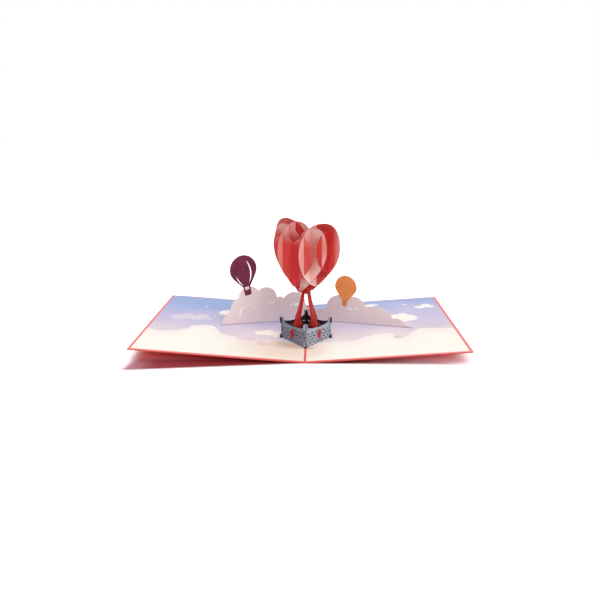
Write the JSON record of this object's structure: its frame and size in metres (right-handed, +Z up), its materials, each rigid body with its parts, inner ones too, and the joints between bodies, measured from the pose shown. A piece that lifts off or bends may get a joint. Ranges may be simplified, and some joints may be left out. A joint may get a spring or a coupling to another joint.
{
  "type": "pop up card",
  "caption": "Folded card lying open, with printed pages, a slotted paper heart balloon rising from a woven basket of walls, a folded cloud strip and flat balloons.",
  "frame": {"origin": "underside of the spine strip, midway along the fold, on the surface that the card rests on", "axes": "+X across the open card to the right page, +Y along the spine to the back, +Z up"},
  "size_m": [0.2545, 0.178, 0.0978],
  "materials": {
    "coral_cover_card": "matte",
    "printed_page": "matte print",
    "stone_print_paper": "matte print",
    "red_paper": "matte print",
    "cloud_paper": "matte print",
    "purple_paper": "matte print",
    "orange_paper": "matte print"
  },
  "bodies": {
    "root": {"cover": "coral_cover_card", "left_page": "printed_page", "right_page": "printed_page", "basket_front_left_wall": "stone_print_paper", "basket_front_right_wall": "stone_print_paper", "basket_back_left_wall": "stone_print_paper", "basket_back_right_wall": "stone_print_paper", "heart_slice_1_front_left": "red_paper", "heart_slice_2_front_left": "red_paper", "heart_slice_3_middle_with_legs": "red_paper", "heart_slice_4_back_right": "red_paper", "heart_slice_5_back_right": "red_paper", "oval_slice_1_back_left": "red_paper", "oval_slice_2_back_left": "red_paper", "oval_slice_3_middle_with_legs": "red_paper", "oval_slice_4_front_right": "red_paper", "oval_slice_5_front_right": "red_paper", "cloud_strip": "cloud_paper", "purple_balloon": "purple_paper", "orange_balloon": "orange_paper"}
  },
  "joints": []
}
